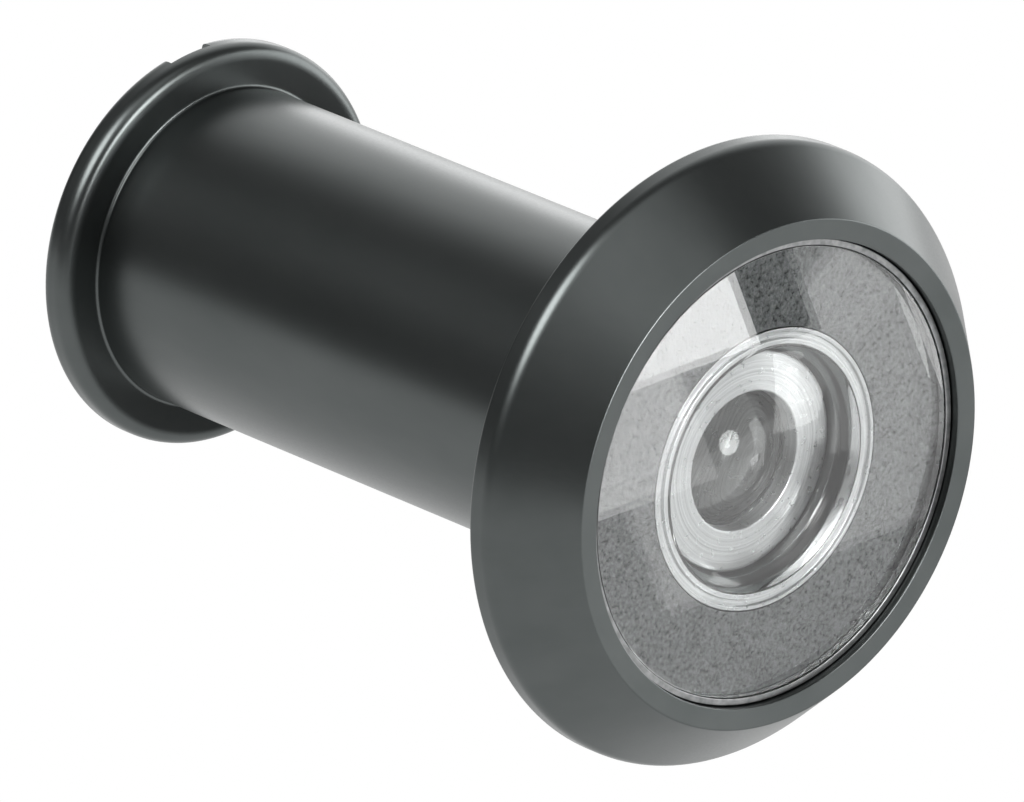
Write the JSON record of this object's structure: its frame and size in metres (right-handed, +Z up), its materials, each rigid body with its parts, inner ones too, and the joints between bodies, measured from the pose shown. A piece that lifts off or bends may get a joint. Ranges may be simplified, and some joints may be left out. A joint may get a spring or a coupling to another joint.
{
  "type": "door viewer",
  "caption": "Wide-angle door viewer: bevelled round lens flange and a smooth sleeve with a small slotted flange, screwed together through the door.",
  "frame": {"origin": "on the optical axis, in the plane of the front flange's seating face, which rests on the outer face of the door", "axes": "+Y along the optical axis from the street to the room, -Y is the side the lens faces, +Z up on a hung door"},
  "size_m": [0.027, 0.0365, 0.027],
  "materials": {
    "black_coating": "satin black coating on turned metal",
    "bright_ring": "bright turned",
    "seat_washer": "grained silver",
    "glass": "polished",
    "rubber": "matte",
    "blackened_ring": "matte black"
  },
  "bodies": {
    "lens_half": {"lens_housing": "black_coating", "glass_retaining_ring": "black_coating", "objective_lens": "glass", "seat_washer": "seat_washer", "centre_ring": "bright_ring", "glass_gasket": "rubber", "bright_lens_ring": "bright_ring", "second_lens": "glass", "spacer_tube": "bright_ring", "third_lens": "glass", "lens_stack_ring": "blackened_ring", "aperture_stop": "blackened_ring"},
    "eyepiece_optics": {"eyepiece_lens": "glass", "eyepiece_retaining_ring": "blackened_ring", "eyepiece_seal": "rubber"},
    "eyepiece_sleeve": {"eyepiece_sleeve": "black_coating"}
  },
  "joints": [
    {"name": "sleeve_travel", "type": "slide", "parent": "lens_half", "child": "eyepiece_optics", "axis": [0, 1, 0], "range_m": [0, 0.0221]},
    {"name": "sleeve_turn", "type": "hinge", "parent": "eyepiece_optics", "child": "eyepiece_sleeve", "pos_m": [0, 0, 0], "axis": [0, 1, 0], "range_deg": [0, 7920]}
  ],
  "couplings": [
    {"joint": "sleeve_travel", "follows": "sleeve_turn", "m_per_rad": 0.00015915}
  ]
}
